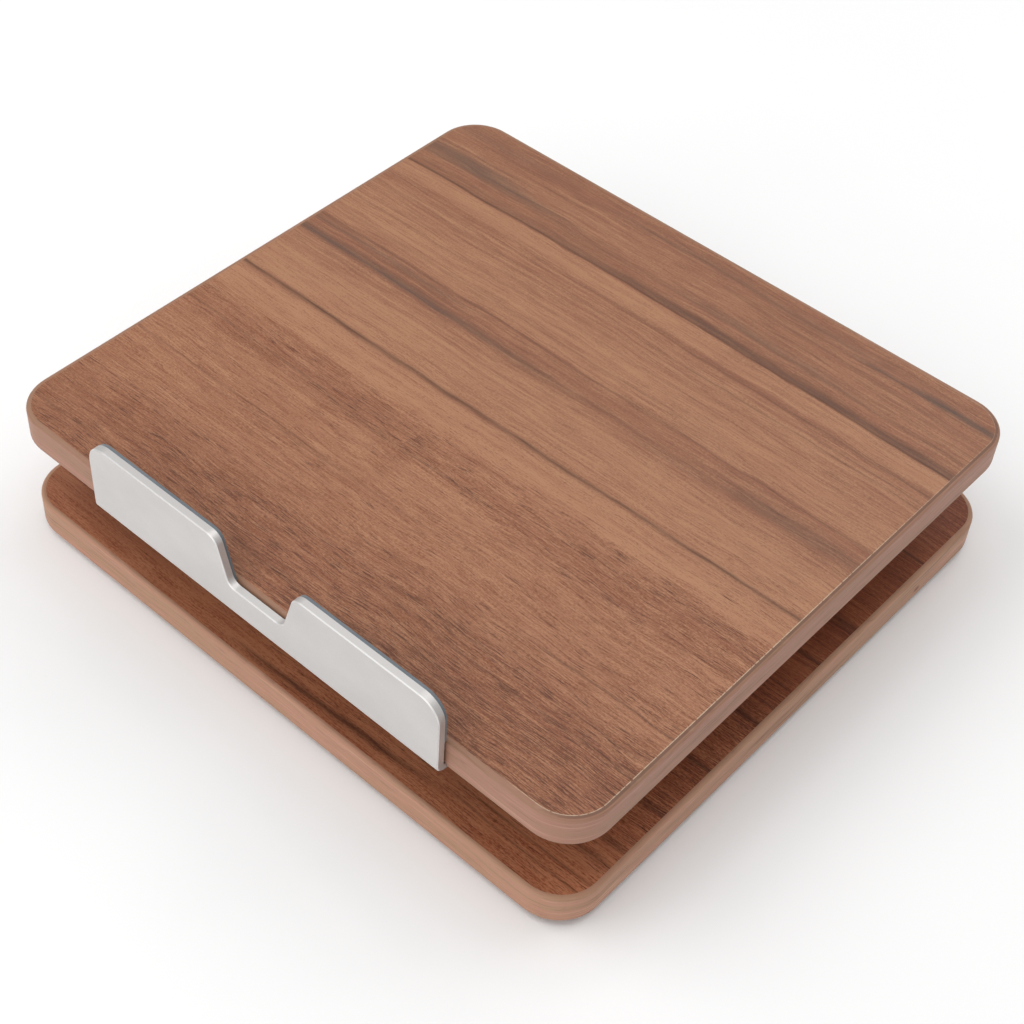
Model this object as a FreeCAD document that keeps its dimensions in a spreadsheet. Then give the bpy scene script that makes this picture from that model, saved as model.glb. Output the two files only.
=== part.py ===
import FreeCAD, Part
import math
import os
import Sketcher

# A folding laptop riser, folded flat. Two veneered boards lie one above the other. Two side arms
# between them are hinged near the rear of the base and near the front of the deck, and a bent
# aluminium lip stands up at the front of the deck.
#
# Frame: +Z up, +X to the right, -Y to the front. The origin is on the desk, under the middle of
# the whole object. Everything is drawn about the middle of the boards, and each sub-part's
# Placement then moves it back by half of what the lip adds at the front.

Vector = FreeCAD.Vector

# ------------------------------------------------------------------ driving dimensions (mm)

DIMENSIONS = {
    # the two boards
    "board_length": 280.0,
    "board_depth": 260.0,
    "core_thickness": 12.6,
    "veneer_thickness": 0.6,
    "band_thickness": 2.0,
    "corner_radius": 18.0,
    "band_edge_radius": 1.5,
    "board_gap": 32.0,
    # rubber feet
    "foot_height": 2.5,
    "foot_radius": 9.0,
    "foot_edge_radius": 0.8,
    "foot_inset": 20.0,
    # front lip
    "lip_thickness": 3.0,
    "lip_length": 170.6,
    "lip_bend_radius": 1.2,
    "lip_edge_break": 0.4,
    "tab_rise": 20.4,
    "tab_end_radius": 9.0,
    "notch_floor_rise": 0.5,
    "notch_floor_width": 26.4,
    "notch_mouth_width": 38.0,
    "notch_floor_radius": 4.0,
    "notch_mouth_radius": 5.0,
    "flange_reach": 20.0,
    "flange_let_in": 2.1,
    "flange_corner_radius": 3.0,
    "flange_fit": 0.3,
    "pad_thickness": 1.2,
    "pad_margin": 0.3,
    # hinges
    "front_pivot_inset": 18.0,
    "rear_pivot_inset": 26.0,
    "pivot_stand_off": 8.0,
    "knuckle_radius": 7.4,
    "hinge_play": 0.05,
    # side arms and the bars between them
    "arm_inner_face": 100.0,
    "arm_thickness": 8.0,
    "arm_edge_break": 0.8,
    "counterbore_radius": 5.6,
    "counterbore_depth": 5.0,
    "cross_bar_radius": 5.0,
    "rear_bar_share": 0.3,
    "front_bar_share": 0.7,
    # hinge brackets
    "bracket_thickness": 3.0,
    "bracket_plate_width": 29.0,
    "bracket_plate_start": 3.0,
    "bracket_plate_end": 41.0,
    "bracket_ear_end": 30.0,
    "bracket_corner_radius": 4.0,
    "bracket_bend_radius": 1.0,
    "bracket_fit": 0.4,
    "bracket_recess_radius": 1.0,
    "bracket_screw_across_near": 9.0,
    "bracket_screw_across_far": 22.0,
    "bracket_screw_along_near": 10.0,
    "bracket_screw_along_middle": 22.0,
    "bracket_screw_along_far": 34.0,
    # hinge bolts and what they clamp
    "bolt_radius": 3.0,
    "bolt_length": 16.0,
    "bolt_head_radius": 5.25,
    "bolt_head_height": 3.0,
    "bolt_socket_flats": 4.0,
    "bolt_socket_depth": 1.8,
    "washer_radius": 5.4,
    "washer_thickness": 0.8,
    "spring_radius": 6.0,
    "spring_thickness": 0.6,
    "spring_height": 1.0,
    "nut_flats": 10.0,
    "nut_hex_height": 3.6,
    "nut_collar_radius": 4.6,
    "nut_collar_height": 1.4,
    "cap_thickness": 1.0,
    # screws
    "wood_screw_radius": 2.0,
    "wood_screw_head_radius": 3.8,
    "wood_screw_length": 12.0,
    "wood_screw_tip": 2.0,
    "wood_screw_tip_radius": 0.4,
    "bar_screw_radius": 2.0,
    "bar_screw_head_radius": 4.0,
    "bar_screw_length": 14.0,
    "screw_fit": 0.05,
    "drive_width": 1.0,
    "drive_length": 4.0,
    "drive_depth": 1.2,
    "lip_screw_inner": 27.0,
    "lip_screw_outer": 70.0,
}

# ------------------------------------------------------------------ document and sheet

doc = FreeCAD.newDocument("LaptopRiser")
sheet = doc.addObject("Spreadsheet::Sheet", "Dims")
for row, (name, value) in enumerate(DIMENSIONS.items(), start=1):
    sheet.set("A%d" % row, name)
    sheet.set("B%d" % row, str(value))
    sheet.setAlias("B%d" % row, name)
doc.recompute()


class Size:
    """A length or a ratio: its number, and the expression that binds it to the sheet."""

    def __init__(self, number, expression):
        self.number = number
        self.expression = expression

    @staticmethod
    def of(value):
        if isinstance(value, Size):
            return value
        return Size(float(value), "%.6g" % value)

    @staticmethod
    def join(left, sign, right, number):
        return Size(number, "(%s %s %s)" % (left.expression, sign, right.expression))

    def __add__(self, other):
        other = Size.of(other)
        return Size.join(self, "+", other, self.number + other.number)

    def __sub__(self, other):
        other = Size.of(other)
        return Size.join(self, "-", other, self.number - other.number)

    def __mul__(self, other):
        other = Size.of(other)
        return Size.join(self, "*", other, self.number * other.number)

    def __truediv__(self, other):
        other = Size.of(other)
        return Size.join(self, "/", other, self.number / other.number)

    def __neg__(self):
        return self * -1

    __radd__ = __add__
    __rmul__ = __mul__


def dim(name):
    return Size(DIMENSIONS[name], "Dims." + name)


ZERO = Size.of(0)

# ------------------------------------------------------------------ derived sizes and levels

HALF_LENGTH = dim("board_length") / 2
HALF_DEPTH = dim("board_depth") / 2
BOARD_THICKNESS = dim("core_thickness") + dim("veneer_thickness") * 2
BAND_THICKNESS = dim("band_thickness")
PANEL_HALF_LENGTH = HALF_LENGTH - BAND_THICKNESS
PANEL_HALF_DEPTH = HALF_DEPTH - BAND_THICKNESS
PANEL_RADIUS = dim("corner_radius") - BAND_THICKNESS

BASE_LEVEL = dim("foot_height")
BASE_TOP = BASE_LEVEL + BOARD_THICKNESS
DECK_LEVEL = BASE_TOP + dim("board_gap")
DECK_TOP = DECK_LEVEL + BOARD_THICKNESS

LIP_BACK = -(HALF_DEPTH + dim("pad_thickness"))
LIP_FRONT = LIP_BACK - dim("lip_thickness")
LIP_HALF = dim("lip_length") / 2
TAB_TOP = DECK_TOP + dim("tab_rise")
NOTCH_FLOOR = DECK_TOP + dim("notch_floor_rise")
NOTCH_FLOOR_HALF = dim("notch_floor_width") / 2
NOTCH_MOUTH_HALF = dim("notch_mouth_width") / 2
FLANGE_TOP = DECK_LEVEL + dim("flange_let_in")
FLANGE_BOTTOM = FLANGE_TOP - dim("lip_thickness")
FLANGE_END = LIP_BACK + dim("flange_reach")
BOARD_SHIFT = (dim("pad_thickness") + dim("lip_thickness")) / 2

FRONT_PIVOT_Y = -(HALF_DEPTH - dim("front_pivot_inset"))
REAR_PIVOT_Y = HALF_DEPTH - dim("rear_pivot_inset")
LOWER_PIVOT_Z = BASE_TOP + dim("pivot_stand_off")
UPPER_PIVOT_Z = DECK_LEVEL - dim("pivot_stand_off")

# The hinge stack along X, from the bolt's head inwards.
ARM_INNER = dim("arm_inner_face")
ARM_OUTER = ARM_INNER + dim("arm_thickness")
COUNTERBORE_FLOOR = ARM_OUTER - dim("counterbore_depth")
OUTER_WASHER_FACE = COUNTERBORE_FLOOR + dim("hinge_play")
BOLT_HEAD_FACE = OUTER_WASHER_FACE + dim("washer_thickness")
INNER_WASHER_FACE = ARM_INNER - dim("hinge_play") - dim("washer_thickness")
EAR_OUTER = INNER_WASHER_FACE
EAR_INNER = EAR_OUTER - dim("bracket_thickness")
MID_SPRINGS = EAR_INNER - dim("spring_height")
NUT_FACE = MID_SPRINGS - dim("spring_height")
CAP_FACE = ARM_OUTER - dim("cap_thickness")
PIN_HOLE_RADIUS = dim("bolt_radius") + dim("screw_fit")

UPRIGHT = FreeCAD.Rotation()
UPSIDE_DOWN = FreeCAD.Rotation(Vector(1, 0, 0), 180)
POINTING_RIGHT = FreeCAD.Rotation(Vector(0, 1, 0), 90)
POINTING_LEFT = FreeCAD.Rotation(Vector(0, 1, 0), -90)
SIDES = (1, -1)

nodes = []

# ------------------------------------------------------------------ sketch helpers

SKETCH_ORIGIN = (-1, 1)
SKETCH_X_AXIS = -1
SKETCH_Y_AXIS = -2
START, END, CENTRE = 1, 2, 3


def bind(thing, prop, size):
    thing.setExpression(prop, size.expression)


def constrain(sketch, kind, *where, size=None):
    """Add one constraint, and bind its datum to the sheet."""
    if size is None:
        return sketch.addConstraint(Sketcher.Constraint(kind, *where))
    index = sketch.addConstraint(Sketcher.Constraint(kind, *where, size.number))
    bind(sketch, "Constraints[%d]" % index, size)
    return index


def pin_coordinate(sketch, kind, zero_axis, curve, end, size):
    """Hold one coordinate of a point at a signed distance from the sketch's origin."""
    if abs(size.number) < 1e-9:
        constrain(sketch, "PointOnObject", curve, end, zero_axis)
    elif size.number > 0:
        constrain(sketch, kind, *SKETCH_ORIGIN, curve, end, size=size)
    else:
        constrain(sketch, kind, curve, end, *SKETCH_ORIGIN, size=-size)


def pin_point(sketch, curve, end, x, y):
    pin_coordinate(sketch, "DistanceX", SKETCH_Y_AXIS, curve, end, x)
    pin_coordinate(sketch, "DistanceY", SKETCH_X_AXIS, curve, end, y)


def polygon(sketch, corners):
    """A closed outline of straight lines with every corner pinned."""
    points = [Vector(x.number, y.number, 0) for x, y in corners]
    following = points[1:] + points[:1]
    first = sketch.addGeometry([Part.LineSegment(a, b) for a, b in zip(points, following)], False)[0]
    count = len(points)
    for index in range(count):
        constrain(sketch, "Coincident", first + index, END, first + (index + 1) % count, START)
    for index, (x, y) in enumerate(corners):
        pin_point(sketch, first + index, START, x, y)


def rectangle(sketch, x_low, x_high, y_low, y_high):
    polygon(sketch, [(x_low, y_low), (x_high, y_low), (x_high, y_high), (x_low, y_high)])


def rounded_rectangle(sketch, half_x, half_y, radius):
    """A rectangle about the sketch's origin with four equal round corners."""
    x, y, r = half_x.number, half_y.number, radius.number
    up = Vector(0, 0, 1)
    corners = [(1, -1), (1, 1), (-1, 1), (-1, -1)]
    arcs = []
    for turn, (x_sign, y_sign) in enumerate(corners):
        centre = Vector(x_sign * (x - r), y_sign * (y - r), 0)
        first_angle = (turn - 1) * math.pi / 2
        arcs.append(Part.ArcOfCircle(Part.Circle(centre, up, r), first_angle, first_angle + math.pi / 2))
    following = arcs[1:] + arcs[:1]
    sides = [Part.LineSegment(arc.EndPoint, nxt.StartPoint) for arc, nxt in zip(arcs, following)]
    first_arc = sketch.addGeometry(arcs, False)[0]
    first_side = sketch.addGeometry(sides, False)[0]
    for index in range(4):
        constrain(sketch, "Tangent", first_arc + index, END, first_side + index, START)
        constrain(sketch, "Tangent", first_side + index, END, first_arc + (index + 1) % 4, START)
        constrain(sketch, "Radius", first_arc + index, size=radius)
    for index, (x_sign, y_sign) in enumerate(corners[::2]):
        centre_x = (half_x - radius) * x_sign
        centre_y = (half_y - radius) * y_sign
        pin_point(sketch, first_arc + 2 * index, CENTRE, centre_x, centre_y)


def circle(sketch, x, y, radius):
    shape = Part.Circle(Vector(x.number, y.number, 0), Vector(0, 0, 1), radius.number)
    index = sketch.addGeometry(shape, False)
    pin_point(sketch, index, CENTRE, x, y)
    constrain(sketch, "Radius", index, size=radius)


def hexagon(sketch, across_flats):
    """A regular hexagon about the sketch's origin, with two flats parallel to its X axis."""
    radius = across_flats / math.sqrt(3)
    angles = [math.radians(60 * index) for index in range(7)]
    points = [Vector(radius.number * math.cos(a), radius.number * math.sin(a), 0) for a in angles]
    sides = [Part.LineSegment(points[index], points[index + 1]) for index in range(6)]
    first = sketch.addGeometry(sides, False)[0]
    ring = sketch.addGeometry(Part.Circle(Vector(), Vector(0, 0, 1), radius.number), True)
    constrain(sketch, "Coincident", ring, CENTRE, *SKETCH_ORIGIN)
    constrain(sketch, "Radius", ring, size=radius)
    for index in range(6):
        constrain(sketch, "Coincident", first + index, END, first + (index + 1) % 6, START)
        constrain(sketch, "PointOnObject", first + index, START, ring)
    for index in range(1, 6):
        constrain(sketch, "Equal", first, first + index)
    constrain(sketch, "PointOnObject", first, START, SKETCH_X_AXIS)


def stadium(sketch, low_end, high_end, radius):
    """Two round ends joined by their common tangents."""
    ends = [Vector(x.number, y.number, 0) for x, y in (low_end, high_end)]
    along = (ends[1] - ends[0]).normalize()
    heading = math.atan2(along.y, along.x)
    across = Vector(-along.y, along.x, 0) * radius.number
    low_circle, high_circle = [Part.Circle(end, Vector(0, 0, 1), radius.number) for end in ends]
    quarter = math.pi / 2
    low_arc = Part.ArcOfCircle(low_circle, heading + quarter, heading + 3 * quarter)
    high_arc = Part.ArcOfCircle(high_circle, heading - quarter, heading + quarter)
    right = Part.LineSegment(ends[0] - across, ends[1] - across)
    left = Part.LineSegment(ends[1] + across, ends[0] + across)
    low, high, right_side, left_side = sketch.addGeometry([low_arc, high_arc, right, left], False)
    constrain(sketch, "Tangent", low, END, right_side, START)
    constrain(sketch, "Tangent", right_side, END, high, START)
    constrain(sketch, "Tangent", high, END, left_side, START)
    constrain(sketch, "Tangent", left_side, END, low, START)
    pin_point(sketch, low, CENTRE, *low_end)
    pin_point(sketch, high, CENTRE, *high_end)
    constrain(sketch, "Radius", low, size=radius)


# ------------------------------------------------------------------ body and feature helpers


def new_body(label):
    """An empty PartDesign body."""
    body = doc.addObject("PartDesign::Body", label)
    body.Label = label
    return body


def keep(node):
    """Count a finished object as a sub-part, and place it in the row's frame."""
    bind(node, "Placement.Base.y", BOARD_SHIFT)
    nodes.append(node)
    return node


def sketch_on(body, role, lift=ZERO):
    """A sketch on one of the body's own origin planes, raised along the plane's normal."""
    sketch = body.newObject("Sketcher::SketchObject", body.Name + "_sketch")
    plane = next(item for item in body.Origin.OriginFeatures if item.Role == role)
    sketch.AttachmentSupport = [(plane, "")]
    sketch.MapMode = "FlatFace"
    bind(sketch, "AttachmentOffset.Base.z", lift)
    doc.recompute()
    return sketch


def finish_feature(body, feature):
    body.Tip = feature
    doc.recompute()
    return feature


def pad(body, sketch, length, backwards=False, both_ways=False):
    feature = body.newObject("PartDesign::Pad", body.Name + "_pad")
    feature.Profile = sketch
    feature.Reversed = backwards
    feature.SideType = "Symmetric" if both_ways else "One side"
    bind(feature, "Length", length)
    return finish_feature(body, feature)


def pocket(body, sketch, depth, backwards=False):
    """Cut a sketch into the body, and make sure that the cut points into the solid."""
    before = body.Shape.Volume
    feature = body.newObject("PartDesign::Pocket", body.Name + "_pocket")
    feature.Profile = sketch
    feature.Reversed = backwards
    bind(feature, "Length", depth)
    finish_feature(body, feature)
    if not feature.Shape.Volume < before - 1e-3:
        raise RuntimeError("%s cuts nothing" % feature.Name)
    return feature


def revolve(body, sketch):
    feature = body.newObject("PartDesign::Revolution", body.Name + "_revolution")
    feature.Profile = sketch
    feature.ReferenceAxis = (sketch, ["V_Axis"])
    feature.Angle = 360
    return finish_feature(body, feature)


def dress(body, kind, prop, wanted, size, expected):
    """Fillet or chamfer the edges of the body that a test picks out."""
    base = body.Tip
    names = ["Edge%d" % (i + 1) for i, edge in enumerate(base.Shape.Edges) if wanted(edge)]
    if len(names) != expected:
        raise RuntimeError("%s: %d edges picked instead of %d" % (body.Name, len(names), expected))
    feature = body.newObject(kind, body.Name + "_" + prop.lower())
    feature.Base = (base, names)
    bind(feature, prop, size)
    return finish_feature(body, feature)


def fillet(body, wanted, radius, expected):
    return dress(body, "PartDesign::Fillet", "Radius", wanted, radius, expected)


def chamfer(body, wanted, size, expected):
    return dress(body, "PartDesign::Chamfer", "Size", wanted, size, expected)


def close(a, b):
    return abs(a - b) < 1e-4


def spans(edge, axis):
    """How far an edge's box reaches along one axis."""
    box = edge.BoundBox
    return {"x": box.XLength, "y": box.YLength, "z": box.ZLength}[axis]


def runs_along(edge, axis):
    """True for a straight edge parallel to the axis."""
    others = [other for other in "xyz" if other != axis]
    return spans(edge, axis) > 1e-4 and all(spans(edge, other) < 1e-4 for other in others)


def lies_at(edge, x=None, y=None, z=None):
    """True when the whole edge lies at the given coordinates."""
    box = edge.BoundBox
    places = ((x, box.XMin, box.XMax), (y, box.YMin, box.YMax), (z, box.ZMin, box.ZMax))
    return all(want is None or (close(low, want) and close(high, want)) for want, low, high in places)


def is_round(edge, radius):
    """True for an arc or circle of this radius."""
    return isinstance(edge.Curve, Part.Circle) and close(edge.Curve.Radius, radius)


def instances(label, master, places):
    """Identical pieces as one sub-part: links to one master, each at its own place."""
    links = []
    for x, y, z, rotation in places:
        link = doc.addObject("App::Link", label + "_copy")
        link.LinkedObject = master
        link.Placement = FreeCAD.Placement(Vector(x.number, y.number, z.number), rotation)
        bind(link, "Placement.Base.x", x)
        bind(link, "Placement.Base.y", y)
        bind(link, "Placement.Base.z", z)
        links.append(link)
    group = doc.addObject("Part::Compound", label)
    group.Label = label
    group.Links = links
    return keep(group)


def mirrored(label, source):
    """The left-hand twin of a right-hand sub-part."""
    twin = doc.addObject("Part::Mirroring", label)
    twin.Label = label
    twin.Source = source
    twin.Normal = Vector(1, 0, 0)
    nodes.append(twin)
    return twin


# ------------------------------------------------------------------ hinge layout

# Each pair of hinge brackets is let into the inner face of one board. "inward" is the way along Y
# from the pivot to the middle of the boards, and "turn" sets the brackets upright or hanging.
BASE_HINGES = {"pivot_y": REAR_PIVOT_Y, "pivot_z": LOWER_PIVOT_Z, "inward": -1, "turn": UPRIGHT}
DECK_HINGES = {"pivot_y": FRONT_PIVOT_Y, "pivot_z": UPPER_PIVOT_Z, "inward": 1, "turn": UPSIDE_DOWN}

# The bracket's screws: distance across from the ear's outer face, and along from the pivot.
BRACKET_SCREWS = [
    (dim("bracket_screw_across_far"), dim("bracket_screw_along_near")),
    (dim("bracket_screw_across_far"), dim("bracket_screw_along_far")),
    (dim("bracket_screw_across_near"), dim("bracket_screw_along_middle")),
]


def bracket_screw_points(hinges, side):
    points = []
    for across, along in BRACKET_SCREWS:
        points.append(((EAR_OUTER - across) * side, hinges["pivot_y"] + along * hinges["inward"]))
    return points


def bracket_recess(hinges, side):
    """The corners of the recess that takes one bracket's plate: x low, x high, y low, y high."""
    fit = dim("bracket_fit")
    x_ends = [(EAR_OUTER + fit) * side, (EAR_OUTER - dim("bracket_plate_width") - fit) * side]
    near = hinges["pivot_y"] + (dim("bracket_plate_start") - fit) * hinges["inward"]
    far = hinges["pivot_y"] + (dim("bracket_plate_end") + fit) * hinges["inward"]
    x_low, x_high = sorted(x_ends, key=lambda size: size.number)
    y_low, y_high = sorted([near, far], key=lambda size: size.number)
    return x_low, x_high, y_low, y_high


def lip_screw_points():
    y = (LIP_BACK + FLANGE_END - dim("pad_thickness")) / 2
    return [(dim(name) * side, y) for name in ("lip_screw_inner", "lip_screw_outer") for side in SIDES]


# ------------------------------------------------------------------ boards


def rounded_panel(label, half_length, half_depth, radius, level, thickness):
    """A flat panel with round corners, its underside at the given level."""
    body = new_body(label)
    bind(body, "Placement.Base.z", level)
    outline = sketch_on(body, "XY_Plane")
    rounded_rectangle(outline, half_length, half_depth, radius)
    pad(body, outline, thickness)
    return body


def cut_bracket_recesses(body, hinges, surface, depth, from_above):
    """Let both bracket plates of one board into a panel, from its top or from its underside."""
    sketch = sketch_on(body, "XY_Plane", surface)
    for side in SIDES:
        rectangle(sketch, *bracket_recess(hinges, side))
    pocket(body, sketch, depth, backwards=not from_above)
    walls = {round(value.number, 4) for side in SIDES for value in bracket_recess(hinges, side)[:2]}
    fillet(
        body,
        lambda edge: runs_along(edge, "z") and any(close(abs(edge.BoundBox.XMin), abs(x)) for x in walls),
        dim("bracket_recess_radius"),
        expected=8,
    )


def cut_flange_rebate(body, depth):
    """Cut the underside back for the lip's flange. The rebate is open to the front."""
    sketch = sketch_on(body, "XY_Plane")
    half = LIP_HALF + dim("flange_fit")
    rectangle(sketch, -half, half, LIP_FRONT, FLANGE_END + dim("flange_fit"))
    pocket(body, sketch, depth, backwards=True)


def drill_pilots(body, points, start, depth, from_above):
    sketch = sketch_on(body, "XY_Plane", start)
    for x, y in points:
        circle(sketch, x, y, dim("wood_screw_radius") + dim("screw_fit"))
    pocket(body, sketch, depth, backwards=not from_above)


def core(label, level, hinges, from_above):
    """The board's core, with recesses for the bracket plates and pilot holes for their screws."""
    thickness = dim("core_thickness")
    body = rounded_panel(
        label, PANEL_HALF_LENGTH, PANEL_HALF_DEPTH, PANEL_RADIUS, level + dim("veneer_thickness"), thickness
    )
    recess_depth = dim("bracket_thickness") - dim("veneer_thickness")
    face = thickness if from_above else ZERO
    cut_bracket_recesses(body, hinges, face, recess_depth, from_above)
    points = [point for side in SIDES for point in bracket_screw_points(hinges, side)]
    drill_pilots(body, points, face, dim("wood_screw_length") - dim("veneer_thickness"), from_above)
    return body


def veneer(label, level):
    return rounded_panel(
        label, PANEL_HALF_LENGTH, PANEL_HALF_DEPTH, PANEL_RADIUS, level, dim("veneer_thickness")
    )


def edge_band(label, level):
    """A solid band round the panel, with its outer edges rounded over."""
    body = rounded_panel(
        label, HALF_LENGTH, HALF_DEPTH, dim("corner_radius"), level, BOARD_THICKNESS
    )
    fillet(body, lambda edge: spans(edge, "z") < 1e-4, dim("band_edge_radius"), expected=16)
    hole = sketch_on(body, "XY_Plane")
    rounded_rectangle(hole, PANEL_HALF_LENGTH, PANEL_HALF_DEPTH, PANEL_RADIUS)
    pocket(body, hole, BOARD_THICKNESS, backwards=True)
    return body


def base_board():
    keep(core("base_core", BASE_LEVEL, BASE_HINGES, from_above=True))
    keep(veneer("base_bottom_veneer", BASE_LEVEL))
    top = veneer("base_top_veneer", BASE_TOP - dim("veneer_thickness"))
    cut_bracket_recesses(top, BASE_HINGES, dim("veneer_thickness"), dim("veneer_thickness"), True)
    keep(top)
    keep(edge_band("base_edge_band", BASE_LEVEL))


def deck_board():
    veneer_thickness = dim("veneer_thickness")
    body = core("deck_core", DECK_LEVEL, DECK_HINGES, from_above=False)
    rebate = dim("flange_let_in") - veneer_thickness
    cut_flange_rebate(body, rebate)
    pilot_depth = dim("wood_screw_length") - dim("lip_thickness")
    drill_pilots(body, lip_screw_points(), rebate, pilot_depth, from_above=False)
    keep(body)
    keep(veneer("deck_top_veneer", DECK_TOP - veneer_thickness))
    bottom = veneer("deck_bottom_veneer", DECK_LEVEL)
    cut_bracket_recesses(bottom, DECK_HINGES, ZERO, veneer_thickness, False)
    cut_flange_rebate(bottom, veneer_thickness)
    keep(bottom)
    band = edge_band("deck_edge_band", DECK_LEVEL)
    cut_flange_rebate(band, dim("flange_let_in"))
    keep(band)


# ------------------------------------------------------------------ lip and pads


def front_lip():
    """One bent sheet: a flange under the deck, and a front plate with two tabs and a notch."""
    body = new_body("front_lip")
    section = sketch_on(body, "YZ_Plane")
    polygon(section, [
        (LIP_FRONT, FLANGE_BOTTOM),
        (FLANGE_END, FLANGE_BOTTOM),
        (FLANGE_END, FLANGE_TOP),
        (LIP_BACK, FLANGE_TOP),
        (LIP_BACK, TAB_TOP),
        (LIP_FRONT, TAB_TOP),
    ])
    pad(body, section, dim("lip_length"), both_ways=True)

    def bend_at(y, z):
        return lambda edge: runs_along(edge, "x") and lies_at(edge, y=y.number, z=z.number)

    fillet(body, bend_at(LIP_BACK, FLANGE_TOP), dim("lip_bend_radius"), expected=1)
    outer_bend = dim("lip_bend_radius") + dim("lip_thickness")
    fillet(body, bend_at(LIP_FRONT, FLANGE_BOTTOM), outer_bend, expected=1)
    cut_thumb_notch(body)
    round_tabs(body)
    drill_flange(body)
    front = LIP_FRONT.number
    plate_foot = (FLANGE_BOTTOM + outer_bend).number
    chamfer(
        body,
        lambda edge: lies_at(edge, y=front) and edge.BoundBox.ZMax > plate_foot + 1e-3,
        dim("lip_edge_break"),
        expected=13,
    )
    return keep(body)


def cut_thumb_notch(body):
    """The flared notch between the tabs, its sides carried on past the tabs' top."""
    notch = sketch_on(body, "XZ_Plane", -LIP_BACK)
    overshoot = dim("notch_mouth_radius")
    depth = TAB_TOP - NOTCH_FLOOR
    flare = (NOTCH_MOUTH_HALF - NOTCH_FLOOR_HALF) / depth
    mouth = NOTCH_MOUTH_HALF + flare * overshoot
    polygon(notch, [
        (-NOTCH_FLOOR_HALF, NOTCH_FLOOR),
        (NOTCH_FLOOR_HALF, NOTCH_FLOOR),
        (mouth, TAB_TOP + overshoot),
        (-mouth, TAB_TOP + overshoot),
    ])
    pocket(body, notch, dim("lip_thickness"), backwards=True)


def round_tabs(body):
    """Round the tabs' outer ends, the notch's mouth and floor, and the flange's rear corners."""
    def across_at(x, z):
        x_value, z_value = x.number, z.number
        return lambda edge: (
            runs_along(edge, "y") and close(abs(edge.BoundBox.XMin), x_value) and lies_at(edge, z=z_value)
        )

    fillet(body, across_at(LIP_HALF, TAB_TOP), dim("tab_end_radius"), expected=2)
    fillet(body, across_at(NOTCH_MOUTH_HALF, TAB_TOP), dim("notch_mouth_radius"), expected=2)
    fillet(body, across_at(NOTCH_FLOOR_HALF, NOTCH_FLOOR), dim("notch_floor_radius"), expected=2)
    flange_end = FLANGE_END.number
    fillet(
        body,
        lambda edge: runs_along(edge, "z") and lies_at(edge, y=flange_end),
        dim("flange_corner_radius"),
        expected=2,
    )


def drill_flange(body):
    """Countersunk holes in the flange, open downwards."""
    holes = sketch_on(body, "XY_Plane", FLANGE_BOTTOM)
    radius = dim("wood_screw_radius") + dim("screw_fit")
    for x, y in lip_screw_points():
        circle(holes, x, y, radius)
    pocket(body, holes, dim("lip_thickness"), backwards=True)
    bottom = FLANGE_BOTTOM.number
    sink = dim("wood_screw_head_radius") - dim("wood_screw_radius")
    chamfer(body, lambda edge: is_round(edge, radius.number) and lies_at(edge, z=bottom), sink, expected=4)


def lip_pads():
    """Soft pads on the back of the tabs, from the deck's top up to the tabs' outline."""
    body = new_body("lip_pad_right")
    face = sketch_on(body, "XZ_Plane", -LIP_BACK)
    bottom = DECK_TOP + dim("pad_margin")
    depth = TAB_TOP - NOTCH_FLOOR
    flare = (NOTCH_MOUTH_HALF - NOTCH_FLOOR_HALF) / depth
    inner_top = NOTCH_MOUTH_HALF + dim("pad_margin")
    inner_bottom = inner_top - flare * (TAB_TOP - bottom)
    outer = LIP_HALF - dim("pad_margin")
    polygon(face, [(inner_bottom, bottom), (outer, bottom), (outer, TAB_TOP), (inner_top, TAB_TOP)])
    pad(body, face, dim("pad_thickness"), backwards=True)

    def across_at(x):
        value = x.number
        return lambda edge: runs_along(edge, "y") and lies_at(edge, x=value, z=TAB_TOP.number)

    fillet(body, across_at(outer), dim("tab_end_radius"), expected=1)
    fillet(body, across_at(inner_top), dim("notch_mouth_radius"), expected=1)
    keep(body)
    mirrored("lip_pad_left", body)


# ------------------------------------------------------------------ fasteners


def screw_master(label, radius, head_radius, length, tip, tip_radius):
    """A countersunk screw, its flat head's top at the origin and its shank pointing down."""
    body = new_body(label)
    profile = sketch_on(body, "XZ_Plane")
    sink = head_radius - radius
    corners = [(ZERO, ZERO), (head_radius, ZERO), (radius, -sink), (radius, tip - length)]
    if tip.number > 0:
        corners.append((tip_radius, -length))
    corners.append((ZERO, -length))
    polygon(profile, corners)
    revolve(body, profile)
    cut_cross_recess(body)
    return body


def cut_cross_recess(body):
    """A cross drive: two crossing slots in the top of the head."""
    half_width = dim("drive_width") / 2
    half_length = dim("drive_length") / 2
    for half_x, half_y in ((half_length, half_width), (half_width, half_length)):
        slot = sketch_on(body, "XY_Plane")
        rectangle(slot, -half_x, half_x, -half_y, half_y)
        pocket(body, slot, dim("drive_depth"))


def bolt_master():
    """A button-head bolt, the underside of its head at the origin and its shank pointing down."""
    body = new_body("hinge_bolt_master")
    head = sketch_on(body, "XY_Plane")
    circle(head, ZERO, ZERO, dim("bolt_head_radius"))
    pad(body, head, dim("bolt_head_height"))
    top = dim("bolt_head_height").number
    fillet(body, lambda edge: lies_at(edge, z=top), dim("bolt_head_height") / 2, expected=1)
    shank = sketch_on(body, "XY_Plane")
    circle(shank, ZERO, ZERO, dim("bolt_radius"))
    pad(body, shank, dim("bolt_length"), backwards=True)
    socket = sketch_on(body, "XY_Plane", dim("bolt_head_height"))
    hexagon(socket, dim("bolt_socket_flats"))
    pocket(body, socket, dim("bolt_socket_depth"))
    return body


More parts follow.
